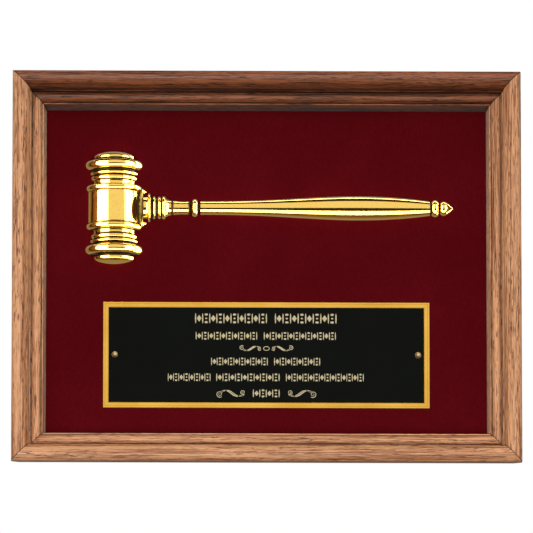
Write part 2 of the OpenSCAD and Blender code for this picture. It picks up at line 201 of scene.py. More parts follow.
def new_look(name):
    """A material, and its node tree with nothing in it yet."""
    material = bpy.data.materials.new(name)
    material.use_nodes = True
    material.node_tree.nodes.clear()
    return material, material.node_tree


def add(tree, kind, **values):
    """A node with its properties and its unlinked inputs set; a socket as a value makes a link."""
    node = tree.nodes.new(kind)
    for key, value in values.items():
        if hasattr(type(node), key) or key in node.bl_rna.properties:
            setattr(node, key, value)
    for key, value in values.items():
        if hasattr(type(node), key) or key in node.bl_rna.properties:
            continue
        place = int(key[1:]) if key[0] == "_" else key.replace("_", " ")
        socket = node.inputs[place]
        if isinstance(value, bpy.types.NodeSocket):
            tree.links.new(value, socket)
        else:
            socket.default_value = value
    return node


def ramp(tree, value, *stops):
    """A colour ramp with its stops given as (place, colour or grey)."""
    node = tree.nodes.new("ShaderNodeValToRGB")
    tree.links.new(value, node.inputs[0])
    e = node.color_ramp.elements
    while len(e) < len(stops):
        e.new(0.5)
    for stop, (place, c) in zip(e, stops):
        stop.position = place
        stop.color = (*c, 1) if isinstance(c, tuple) else (c, c, c, 1)
    return node.outputs[0]


def noise(tree, at, scale, detail, roughness=0.5, distortion=0.0):
    """Noise between 0 and 1; scale is how many of its features lie in a unit of length."""
    return add(tree, "ShaderNodeTexNoise", Vector=at, Scale=scale, Detail=detail,
               Roughness=roughness, Distortion=distortion).outputs[0]


def maths(tree, operation, *values):
    """One operation on sockets or numbers."""
    inputs = {f"_{i}": value for i, value in enumerate(values)}
    return add(tree, "ShaderNodeMath", operation=operation, **inputs).outputs[0]


def stretched(tree, at, by):
    """The position times a number along each axis; a small number draws a pattern out."""
    return add(tree, "ShaderNodeVectorMath", operation="MULTIPLY", _0=at, _1=by).outputs[0]


def carried(tree, value, low, high, start=0.0, end=1.0):
    """The value carried over from the span start to end, to the span low to high."""
    return add(tree, "ShaderNodeMapRange", Value=value, From_Min=start, From_Max=end,
               To_Min=low, To_Max=high).outputs[0]


def blend(tree, share, first, second, how="MIX"):
    """The first colour, with its share of the second."""
    return add(tree, "ShaderNodeMix", data_type="RGBA", blend_type=how,
               _0=share, _6=first, _7=second).outputs[2]


def surface(tree, **values):
    """Ends a material in one surface with these inputs."""
    shader = add(tree, "ShaderNodeBsdfPrincipled", **values).outputs[0]
    add(tree, "ShaderNodeOutputMaterial", Surface=shader)


def node_group(name, inputs, outputs):
    """A shader group with named sockets: (name, kind, default) in, (name, kind) out."""
    group = bpy.data.node_groups.new(name, "ShaderNodeTree")
    for label, kind, default in inputs:
        socket = group.interface.new_socket(label, in_out="INPUT", socket_type="NodeSocket" + kind)
        if default is not None:
            socket.default_value = default
    for label, kind in outputs:
        group.interface.new_socket(label, in_out="OUTPUT", socket_type="NodeSocket" + kind)
    return group, group.nodes.new("NodeGroupInput"), group.nodes.new("NodeGroupOutput")


# Wood grain: broad figure, fine streaks and short open pores, all drawn out along the first axis.
wood, g_in, g_out = node_group(
    "wood_grain",
    [("At", "Vector", None), ("Light", "Color", (0.5, 0.2, 0.09, 1)),
     ("Dark", "Color", (0.1, 0.03, 0.015, 1)), ("Pore depth", "Float", 0.8)],
    [("Color", "Color"), ("Height", "Float")],
)
at = g_in.outputs["At"]
slow = stretched(wood, at, (0.006, 0.17, 0.17))
figure = noise(wood, slow, 1.0, 5.0, 0.6, 0.9)
fine = stretched(wood, at, (0.032, 1.45, 1.45))
streak = noise(wood, fine, 1.0, 6.0, 0.72, 0.2)
dash = stretched(wood, at, (0.15, 1.6, 1.6))
pore = noise(wood, dash, 1.0, 2.0, 0.5)
pore = ramp(wood, pore, (0.39, 1.0), (0.46, 0.0))
thin = stretched(wood, at, (0.012, 0.5, 0.5))
where = noise(wood, thin, 1.0, 2.0)
where = ramp(wood, where, (0.36, 0.25), (0.62, 1.0))
pore = maths(wood, "MULTIPLY", pore, where)
both = maths(wood, "MULTIPLY_ADD", streak, 1.5, -0.75)
both = maths(wood, "ADD", both, figure)
share = ramp(wood, both, (0.34, 0.0), (0.44, 0.45), (0.53, 0.78), (0.66, 1.0))
base = blend(wood, share, g_in.outputs["Dark"], g_in.outputs["Light"])
less = maths(wood, "MULTIPLY", pore, g_in.outputs["Pore depth"])
dark = blend(wood, less, base, (0.16, 0.09, 0.07, 1), "MULTIPLY")
height = maths(wood, "MULTIPLY_ADD", pore, -1.0, streak)
wood.links.new(dark, g_out.inputs["Color"])
wood.links.new(height, g_out.inputs["Height"])


def walnut(name, light, dark, pore_depth, coat):
    """Oiled and lacquered walnut: stain settled in mitres and grooves, painted shade in grooves and on
    walls.
    """
    material, t = new_look(name)
    at = add(t, "ShaderNodeAttribute", attribute_name="grain_at").outputs["Vector"]
    grain = add(t, "ShaderNodeGroup", node_tree=wood, At=at, Light=(*light, 1), Dark=(*dark, 1),
                Pore_depth=pore_depth)
    # Stain in the mitres and grooves, and painted shade in the grooves and on the inner walls, darken
    # the wood towards black, less where the grain stands high.
    stain_shade_share = add(t, "ShaderNodeAttribute", attribute_name="stained").outputs["Fac"]
    patchy = carried(t, grain.outputs["Height"], 1.0, 0.5, -0.1, 0.7)
    stain_shade_share = maths(t, "MULTIPLY", stain_shade_share, patchy)
    colour = blend(t, stain_shade_share, grain.outputs["Color"], (0.012, 0.005, 0.003, 1))
    rough = carried(t, grain.outputs["Height"], 0.56, 0.40)
    bump = add(t, "ShaderNodeBump", Strength=0.45, Distance=0.00015,
               Height=grain.outputs["Height"]).outputs[0]
    surface(t, Base_Color=colour, Roughness=rough, Normal=bump, Specular_IOR_Level=0.35,
            Coat_Weight=coat, Coat_Roughness=0.35)
    return material


# The top rail gets its own much darker walnut. This is partly a darker board and partly painted shade,
# since its faces turn down, away from the light.
pale_walnut = walnut("pale_walnut", (0.68, 0.340, 0.165), (0.27, 0.088, 0.030), 0.9, 0.12)
dark_and_shaded_walnut = walnut("dark_and_shaded_walnut", (0.30, 0.090, 0.032), (0.050, 0.014, 0.005), 1.0, 0.0)
wood_lit, top_lit = bpy.data.collections.new("wood_lit"), bpy.data.collections.new("top_lit")
for piece, name in rails:
    piece.data.materials.append(dark_and_shaded_walnut if name == "top_rail" else pale_walnut)
    (top_lit if name == "top_rail" else wood_lit).objects.link(piece)
    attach(piece, "root")
    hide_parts(name)

# ---- Corner V nails ------------------------------------------------------------------------------
# Thin V-shaped strips of spring steel, pressed across each mitre from behind, flush with the wood.
steel_look, g_in, g_out = node_group(
    "rolled_metal",
    [("At", "Vector", None), ("Tint", "Color", (0.6, 0.6, 0.6, 1)),
     ("Stain", "Color", (0.3, 0.3, 0.3, 1)), ("Grain size", "Float", 900.0)],
    [("Color", "Color"), ("Roughness", "Float"), ("Height", "Float")],
)
drawn = stretched(steel_look, g_in.outputs["At"], (0.12, 1, 1))
lines = noise(steel_look, drawn, g_in.outputs["Grain size"], 4.0, 0.6)
cloud = noise(steel_look, g_in.outputs["At"], 160.0, 5.0, 0.65)
patch = ramp(steel_look, cloud, (0.42, 0.0), (0.66, 1.0))
shade = blend(steel_look, patch, g_in.outputs["Tint"], g_in.outputs["Stain"])
steel_look.links.new(shade, g_out.inputs["Color"])
steel_look.links.new(carried(steel_look, cloud, 0.24, 0.52), g_out.inputs["Roughness"])
steel_look.links.new(lines, g_out.inputs["Height"])


def metal(name, tint, stain, grain_size=900.0, strength=0.15):
    """Rolled or plated metal with drawn lines and faint stains."""
    material, t = new_look(name)
    at = add(t, "ShaderNodeTexCoord").outputs["Object"]
    look = add(t, "ShaderNodeGroup", node_tree=steel_look, At=at, Tint=(*tint, 1), Stain=(*stain, 1),
               Grain_size=grain_size)
    bump = add(t, "ShaderNodeBump", Strength=strength, Distance=0.00005,
               Height=look.outputs["Height"]).outputs[0]
    surface(t, Base_Color=look.outputs["Color"], Metallic=1.0, Roughness=look.outputs["Roughness"],
            Normal=bump)
    return material


def finish_of(name, material):
    """Gives a carried-over node its finish."""
    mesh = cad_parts[name].data
    mesh.materials.clear()
    mesh.materials.append(material)


zinc = metal("zinc_plated_steel", (0.62, 0.63, 0.64), (0.40, 0.41, 0.42))
spring_steel = metal("spring_steel", (0.42, 0.42, 0.43), (0.24, 0.23, 0.22))
finish_of("corner_v_nails", spring_steel)

# ---- Mounting board ------------------------------------------------------------------------------
# Tempered hardboard, cut to drop into the rebate. Only its back shows, inside the turned-in velour.
hardboard, t = new_look("hardboard")
at = add(t, "ShaderNodeTexCoord").outputs["Object"]
fibre = noise(t, at, 1400.0, 6.0, 0.7)
mottle = noise(t, at, 210.0, 5.0, 0.6)
screen = add(t, "ShaderNodeTexVoronoi", Vector=at, Scale=950.0, feature="SMOOTH_F1").outputs[0]
both = maths(t, "MULTIPLY_ADD", fibre, 0.6, mottle)
colour = ramp(t, both, (0.50, (0.105, 0.053, 0.026)), (0.80, (0.165, 0.086, 0.043)),
              (1.05, (0.215, 0.118, 0.062)))
relief_at = maths(t, "ADD", screen, fibre)
bump = add(t, "ShaderNodeBump", Strength=0.4, Distance=0.0001, Height=relief_at).outputs[0]
surface(t, Base_Color=colour, Roughness=0.72, Normal=bump)
finish_of("mounting_board", hardboard)
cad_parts["mounting_board"].visible_glossy = False

# ---- Velour --------------------------------------------------------------------------------------
# One piece of burgundy velour, stretched over the board's face, wrapped round its edges and turned in
# on its back, where the spare cloth at each corner is folded into a flat pleat.
board_lo, board_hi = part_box("mounting_board")
cloth_lo, cloth_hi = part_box("velour_cloth")
cloth_t, turn_in = board_lo.y - cloth_lo.y, 20 * mm
half_w, half_h = (board_hi.x - board_lo.x) / 2, (board_hi.z - board_lo.z) / 2
lift = 0.04 * mm
path = [(-e, cloth_lo.y) for e in (0.07, 0.05, 0.03, 0.015, 0.008, 0.004, 0.0015)]
bend = np.radians(np.linspace(0, 90, 7))
path += [(cloth_t * math.sin(a), board_lo.y - cloth_t * math.cos(a)) for a in bend]
path += [(cloth_t, y) for y in np.linspace(board_lo.y, board_hi.y, 5)[1:-1]]
path += [(cloth_t * math.cos(a), board_hi.y + cloth_t * math.sin(a)) for a in bend]
path += [(-e, cloth_hi.y) for e in np.linspace(0.0012, turn_in - 0.0003, 12)]
path += [(-turn_in, cloth_hi.y - 0.3 * mm), (-turn_in, board_hi.y + lift)]
path += [(-e, board_hi.y + lift) for e in (0.012, 0.004)]
path += [(lift, board_hi.y - 0.5 * mm), (lift, board_lo.y + 0.5 * mm)]
path += [(-e, board_lo.y - lift) for e in (0.004, 0.03, 0.07)]


def cloth_loop(e, y, per_side=30, per_corner=5):
    """A rectangle e outside the board's edge, with rounded corners and a pleat where it is turned in."""
    r = max(e + 0.6 * mm, 0.02 * mm)
    loop = []
    for k, (sx, sz) in enumerate(((1, 1), (-1, 1), (-1, -1), (1, -1))):
        cx, cz = sx * (half_w + e - r), sz * (half_h + e - r)
        start = math.radians(90 * k)
        for a in np.linspace(0, math.pi / 2, per_corner):
            loop.append((cx + r * math.cos(start + a), y, cz + r * math.sin(start + a)))
        nx, nz = ((-1, 1), (-1, -1), (1, -1), (1, 1))[k]
        ex, ez = nx * (half_w + e - r), nz * (half_h + e - r)
        x0, z0 = loop[-1][0], loop[-1][2]
        x1, z1 = (ex, z0) if k % 2 == 0 else (x0, ez)
        for f in np.linspace(0, 1, per_side + 1)[1:-1]:
            loop.append((x0 + (x1 - x0) * f, y, z0 + (z1 - z0) * f))
    if y >= cloth_hi.y - 0.4 * mm and e < -0.0005:
        out = []
        for x, y0, z in loop:
            dx, dz = half_w - abs(x), half_h - abs(z)
            fold = 0.45 * mm * math.exp(-((dx - dz - 3 * mm) / (3.5 * mm)) ** 2)
            out.append((x, y0 + (fold if max(dx, dz) < 0.03 else 0), z))
        loop = out
    return [(x, y, z + mid_z) for x, y, z in loop]


verts, faces = loft([cloth_loop(e, y) for e, y in path])
velour = to_object("velour", verts, faces, smooth=40)
pile, t = new_look("burgundy_velour")
at = add(t, "ShaderNodeTexCoord").outputs["Object"]
brushed = noise(t, at, 14.0, 3.0, 0.5, 0.6)
tufts = noise(t, at, 2600.0, 3.0, 0.7)
weft = stretched(t, at, (1, 1, 0.25))
weft = noise(t, weft, 1500.0, 2.0)
nap = maths(t, "MULTIPLY_ADD", brushed, 0.35, tufts)
nap = maths(t, "MULTIPLY_ADD", weft, 0.3, nap)
colour = ramp(t, nap, (0.55, (0.062, 0.0013, 0.0028)), (0.85, (0.084, 0.0019, 0.0041)),
              (1.1, (0.112, 0.0034, 0.0066)))
bump = add(t, "ShaderNodeBump", Strength=0.5, Distance=0.0002, Height=nap).outputs[0]
surface(t, Base_Color=colour, Roughness=0.92, Normal=bump, Specular_IOR_Level=0.02, Sheen_Weight=0.06,
        Sheen_Roughness=0.45, Sheen_Tint=(0.75, 0.10, 0.16, 1))
velour.data.materials.append(pile)
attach(velour, "root")
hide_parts("velour_cloth")
velour.visible_glossy = False
cloth_lit = bpy.data.collections.new("cloth_lit")
cloth_lit.objects.link(velour)

# ---- Staples and framer's points -----------------------------------------------------------------
# Galvanised wire staples hold the turned-in velour, and flat steel points, pushed into the rails,
# hold the board down in its rebate.
galvanised = metal("galvanised_wire", (0.66, 0.67, 0.68), (0.48, 0.49, 0.50), 1600.0)
finish_of("cloth_staples", galvanised)
finish_of("retaining_points", spring_steel)

# ---- Gavel head ----------------------------------------------------------------------------------
# A gilt casting in relief: half a turned mallet head with its axis sunk behind the cloth. A plain
# barrel lies between stacks of beads and coves, and a domed cap closes each end.
face_y = cloth_lo.y
head_lo, head_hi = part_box("gavel_head")
handle_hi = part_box("gavel_handle")[1]
head_x, gavel_z = (head_lo.x + head_hi.x) / 2, (head_lo.z + head_hi.z) / 2
head_sink, barrel_r, barrel_l = 8, 16.8, 10.7
cap_l, cap_r, dome_r = 5.9, barrel_r - 3.9, 34
head_steps, seat_gap = 96, 0.02


def sunk_r(w):
    """Radius of the turning where it is w wide at the cloth, with its axis sunk."""
    return math.hypot(w, head_sink)


def turned_member(v, length, r0, r1, rounded):
    """Outline (along, radius, painted shade) of one member: a half-round bead, or a straight or coved
    neck.
    """
    if rounded:
        h = length / 2
        return [(v + h - h * math.cos(a), r0 - h + h * math.sin(a), max(0, 1 - 2 * math.sin(a)))
                for a in np.linspace(0.04, math.pi - 0.04, 17)]
    ease = min(0.15, length / 5)
    dip = min(0.35, length / 8)
    return [(v, r0 + ease, 1)] + [
        (v + ease + (length - 2 * ease) * f, r0 + (r1 - r0) * f - dip * math.sin(math.pi * f),
         1 if length < 2.1 else max(0, 1 - 7 * f, 7 * f - 6))
        for f in np.linspace(0, 1, 11)] + [(v + length, r1 + ease, 1)]


head_outline = [(v, sunk_r(barrel_r), 0) for v in (0.0, 4.0, 8.0, barrel_l - 0.5)]
head_outline += [(barrel_l - 0.3, sunk_r(barrel_r) - 0.04, 0.3),
                 (barrel_l - 0.06, sunk_r(barrel_r) - 0.2, 1)]
v = barrel_l
for length, wider, rounded in (
    (4.4, 1.3, True), (3.2, -3.3, False), (3.0, -1.9, True), (0.7, -3.3, False),
    (2.0, -1.3, True), (1.6, -3.3, False), (6.2, 1.9, True), (1.4, -5.8, False),
):
    width = barrel_r + wider
    head_outline += turned_member(v, length, sunk_r(width), sunk_r(width), rounded)
    v += length
rim = math.sqrt(dome_r ** 2 - sunk_r(cap_r) ** 2)
shoulder = cap_l - dome_r + rim
head_outline += [(v, sunk_r(cap_r) - 0.3, 1), (v + 0.3, sunk_r(cap_r), 0.4),
                 (v + shoulder - 1.5, sunk_r(cap_r), 0)]
head_outline += [(v + shoulder - 1.5 + 1.7 * math.sin(a), sunk_r(cap_r) - 1.5 + 1.5 * math.cos(a), 0)
                 for a in np.radians(np.linspace(12, 72, 6))]
head_outline += [(v + cap_l - dome_r + dome_r * math.cos(a), dome_r * math.sin(a), 0)
                 for a in np.linspace(math.asin((sunk_r(cap_r) - 1.6) / dome_r),
                                      math.asin((head_sink + 0.02) / dome_r), 14)]
whole = [(-a, r, d) for a, r, d in reversed(head_outline[1:])] + head_outline


def relief_loops(outline, sink, steps, place):
    """Loops of the part of a turning in front of the cloth. Place turns a point's (along, across,
    height) into its place in the frame."""
    loops = []
    for a, r, _ in outline:
        r = max(r, sink + 0.01)
        first = math.asin(sink / r)
        loops.append([place(a, r * math.cos(th), max(r * math.sin(th) - sink, 0))
                      for th in np.linspace(first, math.pi - first, steps)])
    return loops


verts, faces = loft(relief_loops(
    whole, head_sink, head_steps,
    lambda a, c, h: (head_x + c * mm, face_y - (h + seat_gap) * mm, gavel_z + a * mm)))
gavel_head = to_object("gilt_gavel_head", verts, faces, smooth=38,
                       recess=np.repeat([d for _, _, d in whole], head_steps))

gilt, t = new_look("polished_gilt")
at = add(t, "ShaderNodeTexCoord").outputs["Object"]
ripple = noise(t, at, 130.0, 2.0, 0.5)
haze = noise(t, at, 900.0, 4.0, 0.7)
# Painted shade: the hollows of both castings, and the saddle where it meets the barrel, are darkened
# towards black. The haze adds faint random tarnish as well.
recess = add(t, "ShaderNodeAttribute", attribute_name="recess").outputs["Fac"]
haze_and_recess_shade = maths(t, "MULTIPLY_ADD", haze, 0.8, recess)
haze_and_recess_shade = ramp(t, haze_and_recess_shade, (0.62, 0.0), (1.15, 1.0))
colour = ramp(t, haze, (0.30, (0.84, 0.52, 0.105)), (0.62, (0.91, 0.61, 0.14)))
colour = blend(t, haze_and_recess_shade, colour, (0.030, 0.016, 0.006, 1))
rough = carried(t, haze, 0.05, 0.15, 0.3, 0.75)
rough = maths(t, "MULTIPLY_ADD", haze_and_recess_shade, 0.4, rough)
bump = add(t, "ShaderNodeBump", Strength=0.10, Distance=0.0006, Height=ripple).outputs[0]
surface(t, Base_Color=colour, Metallic=1.0, Roughness=rough, Normal=bump)
gilt_lit = bpy.data.collections.new("gilt_lit")
gilt_lit.objects.link(gavel_head)
gavel_head.data.materials.append(gilt)
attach(gavel_head, "root")
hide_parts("gavel_head")

# ---- Gavel handle --------------------------------------------------------------------------------
# The second gilt casting: a saddle that seats against the barrel between two pointed ears, a ringed
# neck, a long swelling shaft, and a bead and a pointed finial at its tip. Its axis lies in the face
# of the cloth.
handle_x = head_x / mm + barrel_r
collar_x, collar_w, collar_h, ear_l = 2.3, 13, 3.6, 2.3
shaft_r, belly_r, belly_at = 4.45, 8, 0.677
saddle_steps, shaft_steps = 49, 72


def barrel_reach(across, height):
    """How far the head reaches to the right at a point across and above the cloth, in millimetres."""
    r = float(np.interp(abs(across), [a for a, _, _ in head_outline], [q for _, q, _ in head_outline]))
    return head_x / mm + math.sqrt(max(r * r - (height + head_sink) ** 2, 0))


def on_face(a, c, h):
    """The place in the frame of a point along, across and above the handle's axis, in millimetres."""
    return a * mm, face_y - (h + seat_gap) * mm, gavel_z + c * mm


sink = (collar_w ** 2 - collar_h ** 2) / (2 * collar_h)
saddle = []
for inset, push in ((0.25, None), (0.0, None), (0.0, 1.6), (0.12, 2.0), (0.5, 2.25)):
    r = math.hypot(collar_w, sink) - inset
    span = math.acos(sink / r)
    loop = []
    for th in np.linspace(span, -span, saddle_steps):
        c, h = r * math.sin(th), max(r * math.cos(th) - sink, 0)
        edge = barrel_reach(c, h) + (0.03 if inset else 0.2)
        loop.append(on_face(edge if push is None else max(handle_x + push, edge + 0.1), c, h))
    saddle.append(loop)
verts, faces = loft(saddle)
# Painted shade on the saddle's loops, darkest at its edge against the barrel. The ears get none.
recess = list(np.repeat((0.9, 0.9, 0.25, 0.2, 0.5), saddle_steps))

for side in (-1, 1):
    ear = []
    for a, w, h in ((collar_x - 0.6, 1.9, 2.4), (collar_x, 1.8, 2.2), (collar_x + 0.8, 1.3, 1.6),
                    (collar_x + 1.6, 0.75, 0.9), (collar_x + ear_l - 0.1, 0.15, 0.15)):
        ear_mid = side * (collar_w - 1.9 - 0.1 * a)
        ear.append([on_face(handle_x + a, ear_mid + w * math.cos(q), h * math.sin(q))
                    for q in np.linspace(0, math.pi, 13)])
    more, ends = loft(ear, len(verts))
    verts, faces, recess = verts + more, faces + ends, recess + [0.0] * len(more)

outline, v = [(handle_x + collar_x - 0.4, 7.0, 1)], handle_x + collar_x
for length, r0, r1, rounded in (
    (3.6, 7.2, 7.4, False), (1.3, 9.5, 9.5, True), (1.8, 7.2, 7.2, False), (1.5, 7.6, 7.6, True),
    (1.8, 6.6, 6.6, False), (1.9, 7.4, 7.4, True), (0.8, 6.4, 6.4, False), (2.3, 7.6, 7.6, True),
    (4.2, 6.3, 4.8, False), (12.0, 4.8, 4.4, False), (1.5, 3.2, 3.2, False), (3.5, 5.9, 5.9, True),
    (2.0, 2.6, 2.6, False),
):
    outline += turned_member(v, length, r0, r1, rounded)
    v += length
tip_members, finial_l = ((1.0, 4.2, 4.2, False), (5.0, 5.6, 5.6, True)), 9.4
tip_l = sum(m[0] for m in tip_members) + finial_l
shaft_l = handle_hi.x / mm - tip_l - v
for f in np.linspace(0, 1, 60):
    if f < belly_at:
        s = (f / belly_at) ** 1.3
        r = shaft_r + (belly_r - shaft_r) * s * s * (3 - 2 * s)
    else:
        r = belly_r - (belly_r - shaft_r) * 0.92 * ((f - belly_at) / (1 - belly_at)) ** 2.2
    outline.append((v + shaft_l * f, r, 0))
v += shaft_l
for length, r0, r1, rounded in tip_members:
    outline += turned_member(v, length, r0, r1, rounded)
    v += length
outline += [(v + finial_l * f, 4.7 * math.sin(math.pi * f ** 0.62) ** 0.8, 1 if f < 0.08 else 0)
            for f in np.linspace(0.03, 0.985, 26)]
more, ends = loft(relief_loops(outline, 0, shaft_steps, on_face), len(verts))
recess += list(np.repeat([d for _, _, d in outline], shaft_steps))
gavel_handle = to_object("gilt_gavel_handle", verts + more, faces + ends, smooth=38, recess=recess)
gavel_handle.data.materials.append(gilt)
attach(gavel_handle, "root")
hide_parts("gavel_handle")
gilt_lit.objects.link(gavel_handle)

# ---- Gavel screws and washers --------------------------------------------------------------------
# Two zinc-plated machine screws with washers hold the gavel from behind the board.
finish_of("gavel_screws", zinc)
finish_of("gavel_washers", zinc)

# ---- Gilt backing plate --------------------------------------------------------------------------
# A thin brass plate, gilt and satin brushed along its length. Its edge is bevelled, and a fine line
# is scribed round it between the edge and the black plate.
gilt_lo, gilt_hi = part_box("plate_border")


def plate_skin(lo, hi, steps):
    """A rectangular plate from steps of (inset, height above its back), closed at both ends."""
    loops = []
    for i, h in steps:
        x0, x1, z0, z1 = lo.x + i * mm, hi.x - i * mm, lo.z + i * mm, hi.z - i * mm
        loops.append([(x, hi.y - h * mm, z) for x, z in ((x0, z0), (x1, z0), (x1, z1), (x0, z1))])
    return loft(loops)


verts, faces = plate_skin(gilt_lo, gilt_hi, (
    (0.05, 0.02), (0, 0.08), (0, 0.38), (0.22, 0.6), (1.15, 0.6), (1.25, 0.45), (1.45, 0.45),
    (1.55, 0.6), (3.2, 0.6), (3.3, 0.5), (3.55, 0.5), (3.6, 0.6), (4.2, 0.6)))
backing = to_object("gilt_backing_plate", verts, faces, smooth=15)
satin_gilt, t = new_look("satin_gilt")
at = add(t, "ShaderNodeTexCoord").outputs["Object"]
drawn = stretched(t, at, (0.03, 1, 1))
brush = noise(t, drawn, 3200.0, 4.0, 0.6)
cloud = noise(t, at, 40.0, 3.0)
mixed = maths(t, "MULTIPLY_ADD", brush, 0.6, cloud)
colour = ramp(t, mixed, (0.55, (0.78, 0.42, 0.055)), (1.05, (0.93, 0.56, 0.10)))
rough = carried(t, brush, 0.26, 0.44)
bump = add(t, "ShaderNodeBump", Strength=0.12, Distance=0.00003, Height=brush).outputs[0]
surface(t, Base_Color=colour, Metallic=1.0, Roughness=rough, Normal=bump)
backing.data.materials.append(satin_gilt)
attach(backing, "root")
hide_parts("plate_border")

# ---- Black engraving plate -----------------------------------------------------------------------
# Brass sheet under black engraver's lacquer, with a bevelled edge.
black_lo, black_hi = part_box("name_plate")
verts, faces = plate_skin(black_lo, black_hi, (
    (0.05, 0.02), (0, 0.06), (0, 0.34), (0.16, 0.5), (0.5, 0.5), (6, 0.5)))
black_plate = to_object("black_plate", verts, faces, smooth=15)
lacquer, t = new_look("black_lacquer")
at = add(t, "ShaderNodeTexCoord").outputs["Object"]
peel = noise(t, at, 700.0, 3.0)
smear = noise(t, at, 26.0, 5.0, 0.6)
colour = ramp(t, smear, (0.35, (0.0030, 0.0042, 0.0020)), (0.7, (0.0052, 0.0066, 0.0036)))
rough = carried(t, smear, 0.30, 0.50)
bump = add(t, "ShaderNodeBump", Strength=0.06, Distance=0.00005, Height=peel).outputs[0]
surface(t, Base_Color=colour, Roughness=rough, Normal=bump, Specular_IOR_Level=0.07)
black_plate.data.materials.append(lacquer)
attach(black_plate, "root")
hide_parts("name_plate")

# ---- Engraving -----------------------------------------------------------------------------------
# Ornament cut through the lacquer and filled with cream-gold enamel: rows of lozenges and bars, with
# scrolls between them. It stands for whatever the owner would have engraved.
inlay, t = new_look("enamel_inlay")
at = add(t, "ShaderNodeTexCoord").outputs["Object"]
worn = noise(t, at, 900.0, 4.0, 0.6)
colour = ramp(t, worn, (0.30, (0.80, 0.60, 0.26)), (0.60, (1.0, 0.90, 0.58)))
rough = carried(t, worn, 0.35, 0.6)
surface(t, Base_Color=colour, Roughness=rough, Metallic=0.1)

chain = bpy.data.node_groups.new("ornament_row", "GeometryNodeTree")
for label, kind in (("Count", "Int"), ("Pitch", "Float"), ("Height", "Float"), ("Thickness", "Float"),
                    ("Material", "Material")):
    chain.interface.new_socket(label, in_out="INPUT", socket_type="NodeSocket" + kind)
chain.interface.new_socket("Geometry", in_out="OUTPUT", socket_type="NodeSocketGeometry")
given = chain.nodes.new("NodeGroupInput").outputs


def flat_solid(sides, width, height):
    """A flat solid with so many sides, sized as shares of the row's pitch and height."""
    w = maths(chain, "MULTIPLY", given["Pitch"], width)
    h = maths(chain, "MULTIPLY", given["Height"], height)
    size = add(chain, "ShaderNodeCombineXYZ", X=w, Y=h, Z=1.0).outputs[0]
    outline = chain.nodes.new("GeometryNodeMeshCircle")
    outline.fill_type = "NGON"
    outline.inputs["Vertices"].default_value = sides
    outline.inputs["Radius"].default_value = 0.5
    solid = chain.nodes.new("GeometryNodeExtrudeMesh")
    solid.inputs["Individual"].default_value = False
    chain.links.new(outline.outputs[0], solid.inputs["Mesh"])
    chain.links.new(given["Thickness"], solid.inputs["Offset Scale"])
    shaped = chain.nodes.new("GeometryNodeTransform")
    chain.links.new(solid.outputs[0], shaped.inputs["Geometry"])
    chain.links.new(size, shaped.inputs["Scale"])
    return shaped.outputs[0]


def repeated(shape, start, rise):
    """The shape on every fourth point of the row from number start on, raised by rise heights."""
    line = chain.nodes.new("GeometryNodeMeshLine")
    chain.links.new(given["Count"], line.inputs["Count"])
    step = add(chain, "ShaderNodeCombineXYZ", X=given["Pitch"]).outputs[0]
    chain.links.new(step, line.inputs["Offset"])
    number = chain.nodes.new("GeometryNodeInputIndex").outputs[0]
    left = maths(chain, "MODULO", number, 4.0)
    chosen = chain.nodes.new("FunctionNodeCompare")
    chosen.data_type, chosen.operation = "FLOAT", "EQUAL"
    chain.links.new(left, chosen.inputs[0])
    chosen.inputs[1].default_value = float(start)
    chosen.inputs["Epsilon"].default_value = 0.1
    lifted = chain.nodes.new("GeometryNodeSetPosition")
    up = maths(chain, "MULTIPLY", given["Height"], rise)
    chain.links.new(line.outputs[0], lifted.inputs["Geometry"])
    chain.links.new(add(chain, "ShaderNodeCombineXYZ", Y=up).outputs[0], lifted.inputs["Offset"])
    placed = chain.nodes.new("GeometryNodeInstanceOnPoints")
    chain.links.new(lifted.outputs[0], placed.inputs["Points"])
    chain.links.new(shape, placed.inputs["Instance"])
    chain.links.new(chosen.outputs[0], placed.inputs["Selection"])
    return placed.outputs[0]


joined = chain.nodes.new("GeometryNodeJoinGeometry")
bar_sides, lozenge_sides = 12, 4
for sides, width, height, start, rise in (
    (bar_sides, 0.36, 1.0, 0, 0.0), (bar_sides, 0.36, 1.0, 2, 0.0), (lozenge_sides, 1.35, 0.66, 1, 0.0),
    (bar_sides, 0.95, 0.22, 3, 0.37), (bar_sides, 0.95, 0.22, 3, -0.37), (bar_sides, 0.6, 0.16, 3, 0.0),
):
    chain.links.new(repeated(flat_solid(sides, width, height), start, rise), joined.inputs[0])
real = chain.nodes.new("GeometryNodeRealizeInstances")
painted = chain.nodes.new("GeometryNodeSetMaterial")
chain.links.new(joined.outputs[0], real.inputs[0])
chain.links.new(real.outputs[0], painted.inputs["Geometry"])
chain.links.new(given["Material"], painted.inputs["Material"])
chain.links.new(painted.outputs[0], chain.nodes.new("NodeGroupOutput").inputs[0])

plate_mid = (black_lo + black_hi) / 2
cut_y, enamel_t = black_lo.y + 0.012 * mm, 0.03 * mm
verts, faces = [], []
